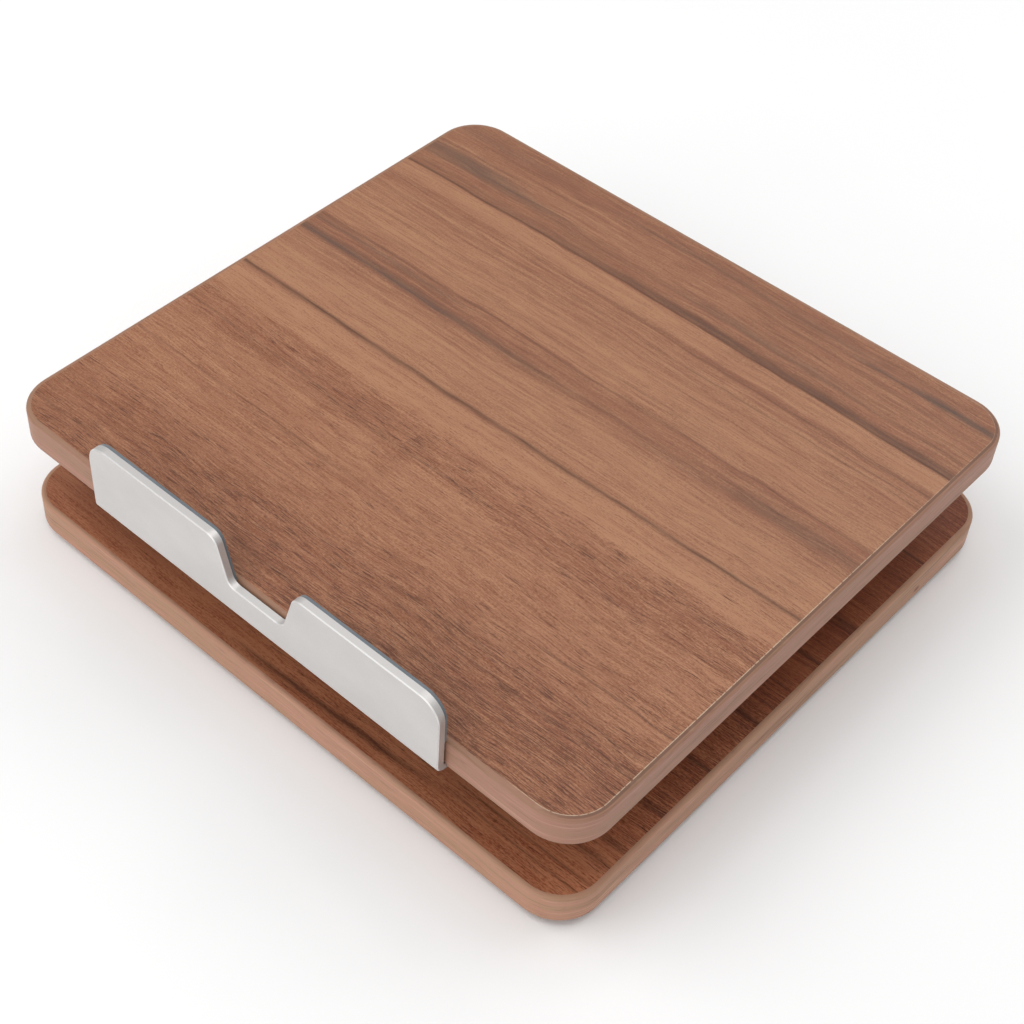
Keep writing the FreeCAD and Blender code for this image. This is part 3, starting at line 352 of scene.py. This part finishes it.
def streak_share(g, x, y, streak):
    """How strongly one dark streak covers a point of the veneer."""
    s = dict(zip(STREAK_KEYS, streak))
    away = g.minus(g.minus(y, s["y"]), g.times(x, s["drift"] / 1000))
    rearward = g.over(g.math("MAXIMUM", away, 0.0), s["above"])
    forward = g.over(g.math("MINIMUM", away, 0.0), s["below"])
    spread = g.plus(g.times(rearward, rearward), g.times(forward, forward))
    across = g.math("POWER", math.e, g.times(spread, -1.0))
    starts = g.step(x, s["start"] - s["fade"] / 2, s["start"] + s["fade"] / 2, 0.0, s["dark"])
    ends = g.step(x, s["end"] - s["fade"] / 2, s["end"] + s["fade"] / 2, 1.0, 0.0)
    return g.times(across, g.times(starts, ends))


def streaks_share(g, x, y, streaks):
    shade = streak_share(g, x, y, streaks[0])
    for streak in streaks[1:]:
        shade = g.plus(shade, streak_share(g, x, y, streak))
    return shade


def bowed(g, x, y):
    """The point's y as its bowed growth ring counts it, in mm."""
    along = g.over(x, PANEL_HALF.x)
    rise = g.minus(1.0, g.times(along, along))
    bow = g.times(rise, g.line(y, *BOW_Y, BOW_FRONT, BOW_REAR))
    climb = g.times(x, g.line(y, *BOW_Y, CLIMB_FRONT / 1000, CLIMB_REAR / 1000))
    return g.minus(y, g.plus(bow, climb))


def rim_distance(g, x, y):
    """How far inside the veneer's rounded outline a point lies, as a negative number of mm."""
    past_x = g.minus(g.math("ABSOLUTE", x), PANEL_HALF.x - PANEL_RADIUS)
    past_y = g.minus(g.math("ABSOLUTE", y), PANEL_HALF.y - PANEL_RADIUS)
    outside = g.length(g.join(g.math("MAXIMUM", past_x, 0.0), g.math("MAXIMUM", past_y, 0.0)))
    inside = g.math("MINIMUM", g.math("MAXIMUM", past_x, past_y), 0.0)
    return g.minus(g.plus(outside, inside), PANEL_RADIUS)


def across_board(g, y, stops):
    """A number that changes across the board, given by its value at some places along y, in mm."""
    reach = PANEL_HALF.y + 4
    places = [((at + reach) / (2 * reach), value) for at, value in stops]
    return g.ramp(g.over(g.plus(y, reach), 2 * reach), places)


class Sheet:
    """Where a point lies on one sheet of veneer, and the noise of its fibres."""

    def __init__(self, g, node, number, fineness):
        point = g.point(middle(node))
        self.x, self.y = g.split(point)[:2]
        self.place = g.vector("ADD", point, (number * SHEET_STEP_X, number * SHEET_STEP_Y, 0.0))
        wander = wave(g, g.grain(self.place, **WANDER), WANDER_REACH)
        ripple = wave(g, g.grain(self.place, **RIPPLE), RIPPLE_REACH)
        self.ring = g.plus(bowed(g, self.x, self.y), g.plus(wander, ripple))
        self.forward = g.step(self.ring, *FORWARD_Y)
        sway = wave(g, g.grain(self.place, **SWAY), SWAY_REACH)
        self.along = g.join(g.times(self.x, fineness), g.plus(self.ring, sway))
        self.fibre = g.grain(self.along, **FIBRE)


def fine_tone(g, sheet):
    """The change of tone from fibres, flakes and specks."""
    flake = swing(g, g.grain(sheet.along, **FLAKE), FLAKE_SWING)
    speck = swing(g, g.grain(sheet.along, **SPECK), SPECK_SWING)
    fine = g.plus(g.plus(swing(g, sheet.fibre, FIBRE_SWING), flake), speck)
    to_front = g.line(sheet.forward, 0.0, 1.0, *COARSE_TO_FRONT)
    to_right = g.line(sheet.x, *BOARD_ENDS, *COARSE_TO_RIGHT)
    return g.times(fine, g.times(to_front, to_right))


def wood_tint(g, sheet, look):
    """The colour of the wood itself, without streaks and pores."""
    tone = g.plus(across_board(g, sheet.ring, look["zones"]), fine_tone(g, sheet))
    thready = g.line(sheet.forward, 0.0, 1.0, 1.0, look["front_threads"])
    thread = swing(g, g.grain(sheet.along, **THREAD), THREAD_SWING)
    tone = g.plus(tone, g.times(thread, thready))
    cloud = swing(g, g.grain(sheet.place, **CLOUD), CLOUD_SWING)
    tone = g.plus(tone, cloud, clamp=True)
    tint = g.mix(sheet.forward, g.ramp(tone, look["rear_tints"]), g.ramp(tone, look["front_tints"]))
    ruddy = g.step(g.grain(sheet.place, **RUDDY), 0.42, 0.64)
    return g.mix(g.times(ruddy, RUDDY_SHARE), tint, look["ruddy"])


def with_streaks(g, tint, sheet, look):
    patchy = g.line(g.grain(sheet.place, **PATCH), 0.25, 0.75, 0.65, 1.3)
    for streaks, dark in look["streaks"]:
        share = g.times(streaks_share(g, sheet.x, sheet.ring, streaks), patchy, clamp=True)
        tint = g.mix(g.times(share, STREAK_SHARE), tint, dark)
    return tint


def pore_cover(g, sheet, look):
    """Where the pores are. They are thin dashes, and a higher limit lets more of them through."""
    clusters = swing(g, g.grain(sheet.along, **CROWD), CROWD_SWING)
    crowd = g.plus(across_board(g, sheet.ring, look["pores"]), clusters)
    crowd = g.plus(crowd, g.line(sheet.x, *BOARD_ENDS, -0.2, 0.2))
    limit = g.line(crowd, 0.0, 1.5, 0.33, 0.492)
    return g.step(g.minus(limit, g.grain(sheet.along, **PORE)), -0.02, 0.04)


def bare_joint_cover(g, sheet):
    """Where the pale joint with the edge band shows: in broken bits, most of them front right."""
    near_right = g.step(sheet.x, PANEL_HALF.x - 40.0, PANEL_HALF.x - 8.0, 0.06, 1.0)
    near_right = g.times(near_right, g.step(sheet.y, 110.0, -20.0, 0.25, 1.0))
    broken = g.step(g.grain(sheet.place, **BROKEN), 0.36, 0.50)
    at_rim = g.step(rim_distance(g, sheet.x, sheet.y), -0.38, -0.26)
    return g.times(at_rim, g.times(broken, near_right))


def walnut_veneer(name, node, look, number, bare_joint=0.0):
    """Flat-cut walnut with its grain along X. Each sheet number gives other grain."""
    g = Graph(name)
    sheet = Sheet(g, node, number, look["fineness"])
    tint = with_streaks(g, wood_tint(g, sheet, look), sheet, look)
    pores = pore_cover(g, sheet, look)
    tint = g.mix(g.times(pores, g.line(sheet.forward, 0.0, 1.0, *PORE_SHARE)), tint, look["pore"])
    if bare_joint:
        tint = g.mix(g.times(bare_joint_cover(g, sheet), bare_joint), tint, BARE_JOINT_TINT)
    rough = g.plus(g.line(sheet.fibre, 0.2, 0.8, 0.54, 0.44), g.times(pores, 0.15))
    height = g.minus(g.times(sheet.fibre, 0.35), pores)
    return g.finish(tint, rough, g.bump(height, 0.05), specular=0.3)


# ------------------------------------------------------------------ walnut edge band

DECK_BAND_TINTS = [
    (0.00, colour(140, 98, 80)), (0.35, colour(162, 124, 101)), (0.65, colour(168, 121, 103)),
    (1.00, colour(184, 143, 122)),
]
# The painted shade on the deck band's rounded edges.
DECK_BAND_ROUNDED_SHADE = colour(140, 106, 83)
# The base band's own layers, tinted paler than the deck band's: painted light for the light that the
# floor bounces onto it.
BASE_BAND_BOUNCE_LIT_TINTS = [
    (0.00, colour(150, 106, 84)), (0.35, colour(176, 138, 110)), (0.65, colour(184, 134, 112)),
    (1.00, colour(200, 158, 132)),
]
# The painted shade on the base band's rounded edges, lighter than the deck band's.
BASE_BAND_ROUNDED_SHADE = colour(171, 130, 105)
BAND_DASH_TINT = colour(110, 72, 58)
# The tint of the painted shade on the band's flat top along the right side.
BAND_TOP_EDGE_SHADE_TINT = colour(84, 56, 44)
BAND_WORN_TINT = colour(182, 148, 124)
KNOT_TINT = colour(104, 62, 50)

# The base band's knot, from the middle of the band, in mm.
KNOT_Y, KNOT_Z = 80.0, -2.0
KNOT_HALF_LENGTH, KNOT_HALF_HEIGHT = 2.6, 1.6

# The band's noises, by their features per mm along its sides (x and y) and through its height (z).
BAND_WAVER = dict(per_x=0.04, per_y=0.04, detail=2.0)
BAND_LAYERS = dict(per_x=0.030, per_y=0.030, per_z=1.5, detail=3.0, roughness=0.65)
BAND_BROAD = dict(per_x=0.012, per_y=0.012, per_z=0.20, detail=2.0)
BAND_DASH = dict(per_x=0.13, per_y=0.13, per_z=2.2, detail=2.0)
BAND_WORN = dict(per_x=0.12, per_y=0.12, per_z=0.5, detail=4.0)
BAND_WAVER_REACH = 1.6

# How far apart two bands lie in the noise, in mm.
BAND_STEP = (173.0, 59.0, 31.0)


def knot_cover(g, x, y, z):
    """A small knot on the right side of an edge band."""
    away_y = g.over(g.minus(y, KNOT_Y), KNOT_HALF_LENGTH)
    away_z = g.over(g.minus(z, KNOT_Z), KNOT_HALF_HEIGHT)
    spot = g.step(g.length(g.join(away_y, away_z)), 1.0, 0.35)
    return g.times(spot, g.step(x, 0.0, 1.0))


def top_edge_shade_cover(g, x, facing_up):
    """Painted shade: a darker strip on the band's flat top, along the right side."""
    on_right = g.step(x, PANEL_HALF.x - 20.0, PANEL_HALF.x)
    return g.times(on_right, g.step(facing_up, 0.88, 0.98))


def worn_cover(g, place, z):
    """Wear along the band's upper and lower edges."""
    worn = g.step(g.grain(place, **BAND_WORN), 0.60, 0.78)
    return g.times(worn, g.step(g.math("ABSOLUTE", z), BAND_HALF.z - 1.2, BAND_HALF.z - 0.4))


def walnut_band(name, node, tints, rounded_shade_tint, number, knot=0.0, top_edge_shade=0.0):
    """Fine layers that run round the board, with a painted shade tint on the band's rounded edges."""
    g = Graph(name)
    point = g.point(middle(node))
    x, y, z = g.split(point)
    place = g.vector("ADD", point, tuple(number * step for step in BAND_STEP))
    waver = wave(g, g.grain(place, **BAND_WAVER), BAND_WAVER_REACH)
    bent = g.vector("ADD", place, g.join(0.0, 0.0, waver))
    layers = g.grain(bent, **BAND_LAYERS)
    dash = g.step(g.grain(bent, **BAND_DASH), 0.40, 0.28)
    broad = swing(g, g.grain(bent, **BAND_BROAD), 0.35)
    tint = g.ramp(g.plus(g.line(layers, 0.25, 0.75, 0.1, 0.9), broad, clamp=True), tints)
    tint = g.mix(g.times(dash, 0.35), tint, BAND_DASH_TINT)
    facing_up = g.normal()[2]
    # Painted shade: the band's rounded edges, picked out by which way they face, take a darker tint.
    rounded_shade = g.step(g.math("ABSOLUTE", facing_up), 0.15, 0.75)
    tint = g.mix(g.times(rounded_shade, 0.55), tint, rounded_shade_tint)
    # Painted shade on the band's flat top along the right side.
    if top_edge_shade:
        tint = g.mix(g.times(top_edge_shade_cover(g, x, facing_up), top_edge_shade), tint, BAND_TOP_EDGE_SHADE_TINT)
    tint = g.mix(g.times(worn_cover(g, place, z), 0.3), tint, BAND_WORN_TINT)
    if knot:
        tint = g.mix(g.times(knot_cover(g, x, y, z), knot), tint, KNOT_TINT)
    rough = g.line(layers, 0.2, 0.8, 0.58, 0.48)
    return g.finish(tint, rough, g.bump(g.minus(g.times(layers, 0.5), dash), 0.03), specular=0.3)


# ------------------------------------------------------------------ fibreboard


def fibreboard():
    """Raw fibreboard: pressed fibres with darker and lighter flecks."""
    g = Graph("board_core")
    point = g.point()
    fleck = g.grain(point, 1.1, 1.1, 1.6, detail=3.0, roughness=0.7)
    cloud = g.line(g.grain(point, 0.05, 0.05, 0.2), 0.3, 0.7, -0.15, 0.15)
    tone = g.plus(g.line(fleck, 0.25, 0.75, 0.1, 0.9), cloud, clamp=True)
    dark, middling, pale = colour(128, 96, 66), colour(164, 130, 94), colour(190, 158, 120)
    tint = g.ramp(tone, [(0.0, dark), (0.5, middling), (1.0, pale)])
    rough = g.line(fleck, 0.2, 0.8, 0.95, 0.8)
    return g.finish(tint, rough, g.bump(fleck, 0.12, strength=0.6), specular=0.25)


# ------------------------------------------------------------------ metals

# The lighter tint on the lip's polished cut edges is a painted highlight.
CUT_HIGHLIGHT_TINT = colour(228, 226, 224)


def cut_highlight_cover(g):
    """Where the lip's polished cut front edges are, which take a painted highlight: the faces that lean
    forward and not down.
    """
    forward, up = g.normal()[1:]
    leaning = g.times(g.step(forward, -0.40, -0.55), g.step(forward, -0.95, -0.85))
    return g.times(leaning, g.step(up, 0.0, 0.35))


def blasted_aluminium(name, tint_dark, tint_light, polished_cut_highlight=False):
    """Bead-blasted, anodised aluminium, with polished cut front edges where asked, lightened as a painted
    highlight.
    """
    g = Graph(name)
    point = g.point()
    beads = g.grain(point, 3.2, 3.2, 3.2, detail=2.0, roughness=0.6)
    cloud = g.grain(point, 0.03, 0.03, 0.05, detail=3.0)
    mottle = g.line(cloud, 0.3, 0.7, -0.2, 0.2)
    tone = g.plus(g.line(beads, 0.3, 0.7, 0.35, 0.65), mottle, clamp=True)
    tint = g.ramp(tone, [(0.0, tint_dark), (1.0, tint_light)])
    rough = g.line(cloud, 0.3, 0.7, 0.54, 0.48)
    height = beads
    if polished_cut_highlight:
        cut_highlight = cut_highlight_cover(g)
        # The cut edges are really smoother and lose the bead-blast bumps; their lighter tint is a painted
        # highlight.
        tint = g.mix(cut_highlight, tint, CUT_HIGHLIGHT_TINT)
        rough = g.minus(rough, g.times(cut_highlight, 0.10))
        height = g.times(beads, g.minus(1.0, cut_highlight))
    return g.finish(tint, rough, g.bump(height, 0.012), metallic=0.85)


def powder_coat():
    """Black powder coat: a fine orange-peel surface with a little dust."""
    g = Graph("bracket_steel")
    point = g.point()
    peel = g.grain(point, 1.2, 1.2, 1.2, detail=2.0)
    dust = g.grain(point, 0.15, 0.15, 0.15, detail=4.0, roughness=0.7)
    tint = g.ramp(dust, [(0.3, colour(30, 30, 32)), (0.7, colour(48, 48, 51))])
    rough = g.line(dust, 0.3, 0.7, 0.42, 0.60)
    return g.finish(tint, rough, g.bump(peel, 0.05), specular=0.5)


def turned_metal(name, tint_dark, tint_light, roughness):
    """Turned or rolled steel and bronze: fine tool marks, slight colour variation."""
    g = Graph(name)
    point = g.point()
    marks = g.grain(point, 0.4, 3.5, 3.5, detail=2.0)
    stain = g.grain(point, 0.35, 0.35, 0.35, detail=4.0, roughness=0.65)
    tint = g.ramp(stain, [(0.28, tint_dark), (0.72, tint_light)])
    rough = g.line(stain, 0.3, 0.7, roughness + 0.10, roughness - 0.06)
    return g.finish(tint, rough, g.bump(marks, 0.01), metallic=1.0)


# ------------------------------------------------------------------ plastics and rubbers


def moulded(name, tint_dark, tint_light, per_mm, roughness, **uniform):
    """A moulded plastic or rubber with a fine grained skin and a little dust."""
    g = Graph(name)
    point = g.point()
    skin = g.grain(point, per_mm, per_mm, per_mm, detail=2.0, roughness=0.6)
    cloud = g.grain(point, 0.06, 0.06, 0.12, detail=4.0, roughness=0.65)
    mottle = g.line(cloud, 0.3, 0.7, -0.3, 0.3)
    tone = g.plus(g.line(skin, 0.3, 0.7, 0.3, 0.7), mottle, clamp=True)
    tint = g.ramp(tone, [(0.0, tint_dark), (1.0, tint_light)])
    rough = g.line(cloud, 0.3, 0.7, roughness - 0.06, roughness + 0.08)
    return g.finish(tint, rough, g.bump(skin, 0.03), **uniform)


# ------------------------------------------------------------------ materials on the nodes

dress(walnut_veneer("deck_walnut", "deck_top_veneer", DECK_LOOK, 1, bare_joint=0.75), "deck_top_veneer")
for number, node in enumerate(("base_top_veneer", "deck_bottom_veneer", "base_bottom_veneer"), 2):
    dress(walnut_veneer(node.replace("veneer", "walnut"), node, BASE_LOOK, number), node)
dress(
    walnut_band("deck_band", "deck_edge_band", DECK_BAND_TINTS, DECK_BAND_ROUNDED_SHADE, 1, top_edge_shade=0.6),
    "deck_edge_band",
)
dress(
    walnut_band("base_band", "base_edge_band", BASE_BAND_BOUNCE_LIT_TINTS, BASE_BAND_ROUNDED_SHADE, 2, knot=0.7),
    "base_edge_band",
)
dress(fibreboard(), "base_core", "deck_core")
dress(
    blasted_aluminium("lip_aluminium", colour(203, 200, 198), colour(221, 218, 216), polished_cut_highlight=True),
    "front_lip",
)
dress(
    blasted_aluminium("arm_aluminium", colour(176, 177, 180), colour(196, 197, 200)),
    "arm_right", "arm_left", "rear_cross_bar", "front_cross_bar",
)
dress(
    powder_coat(),
    "base_bracket_right", "base_bracket_left", "deck_bracket_right", "deck_bracket_left",
)
dress(
    turned_metal("screw_steel", colour(150, 150, 148), colour(196, 196, 190), 0.36),
    "base_bracket_screws", "deck_bracket_screws", "lip_screws", "cross_bar_screws",
)
dress(
    turned_metal("bolt_steel", colour(160, 160, 160), colour(190, 190, 190), 0.28),
    "base_hinge_bolts", "deck_hinge_bolts", "base_lock_nuts", "deck_lock_nuts",
)
dress(
    turned_metal("spring_steel", colour(96, 92, 90), colour(130, 126, 122), 0.32),
    "base_disc_springs", "deck_disc_springs",
)
dress(
    turned_metal("washer_bronze", colour(176, 132, 84), colour(206, 164, 110), 0.34),
    "base_friction_washers", "deck_friction_washers",
)
dress(moulded("cap_plastic", colour(30, 30, 32), colour(46, 46, 49), 1.6, 0.5), "arm_hinge_caps")
dress(moulded("foot_rubber", colour(24, 24, 24), colour(40, 40, 40), 1.2, 0.78), "base_feet")
dress(
    moulded("pad_silicone", colour(84, 92, 98), colour(112, 120, 126), 2.2, 0.62, sheen=0.2),
    "lip_pad_right", "lip_pad_left",
)

# ------------------------------------------------------------------ floor, light and camera

# Where the floor starts to fade, and where it is gone, in mm from the middle of the object.
FLOOR_FADE_START, FLOOR_FADE_END = 500.0, 1150.0

# The point that all lamps are aimed at, in metres.
LAMP_AIM = Vector((0.0, 0.0, 0.03))


def pale_floor():
    """A pale floor that fades out into the white background well away from the object."""
    g = Graph("pale_floor")
    point = g.point()
    mottle = g.grain(point, 0.004, 0.004, detail=3.0)
    tint = g.ramp(mottle, [(0.3, colour(247, 247, 247)), (0.7, colour(250, 250, 250))])
    fade = g.step(g.length(point), FLOOR_FADE_START, FLOOR_FADE_END, 1.0, 0.0)
    return g.finish(tint, 0.85, alpha=fade, specular=0.1)


def add_floor(half_width):
    sides = ((-1, -1), (1, -1), (1, 1), (-1, 1))
    corners = [(half_width * side_x, half_width * side_y, 0.0) for side_x, side_y in sides]
    mesh = bpy.data.meshes.new("floor")
    mesh.from_pydata(corners, [], [(0, 1, 2, 3)])
    mesh.materials.append(pale_floor())
    floor = bpy.data.objects.new("floor", mesh)
    bpy.context.scene.collection.objects.link(floor)


def add_soft_box(name, place, size, power):
    """A square lamp, with its place and size in metres and its power in watts."""
    lamp = bpy.data.lights.new(name, "AREA")
    lamp.shape = "SQUARE"
    lamp.size = size
    lamp.energy = power
    light = bpy.data.objects.new(name, lamp)
    light.location = place
    light.rotation_mode = "QUATERNION"
    light.rotation_quaternion = (LAMP_AIM - Vector(place)).to_track_quat("-Z", "Y")
    bpy.context.scene.collection.objects.link(light)


def add_world(strength):
    """Soft light from all round, against a background that the camera sees as white."""
    world = bpy.data.worlds.new("studio")
    world.use_nodes = True
    tree = world.node_tree
    seen = tree.nodes.new("ShaderNodeLightPath").outputs["Is Camera Ray"]
    brightness = tree.nodes.new("ShaderNodeMapRange")
    brightness.inputs["To Min"].default_value = strength
    brightness.inputs["To Max"].default_value = 1.0
    tree.links.new(seen, brightness.inputs["Value"])
    sky = tree.nodes["Background"]
    sky.inputs["Color"].default_value = (1.0, 1.0, 1.0, 1.0)
    tree.links.new(brightness.outputs["Result"], sky.inputs["Strength"])
    bpy.context.scene.world = world


def add_camera(place, turn_degrees, lens_mm, shift_x):
    camera = bpy.data.cameras.new("camera")
    camera.sensor_width = 36.0
    camera.lens = lens_mm
    camera.shift_x = shift_x
    camera.clip_start = 0.01
    holder = bpy.data.objects.new("camera", camera)
    holder.location = place
    holder.rotation_euler = Euler([math.radians(angle) for angle in turn_degrees], "XYZ")
    bpy.context.scene.collection.objects.link(holder)
    bpy.context.scene.camera = holder


add_floor(half_width=1.2)
add_world(strength=0.50)
add_soft_box("top", place=(0.0, 0.1, 1.6), size=1.0, power=4.5)
add_soft_box("front", place=(0.1, -1.5, 0.65), size=1.6, power=7.5)
add_soft_box("key", place=(-0.9, -0.7, 1.5), size=1.2, power=11.0)
add_soft_box("rear", place=(0.3, 1.3, 1.3), size=1.4, power=8.0)
# The camera was fitted to the edges of the boards in the photograph.
add_camera(
    place=(0.3266, -0.4081, 0.5655), turn_degrees=(43.08, -2.0, 42.57), lens_mm=67.75, shift_x=0.0461,
)
bpy.context.scene.view_settings.view_transform = "Standard"
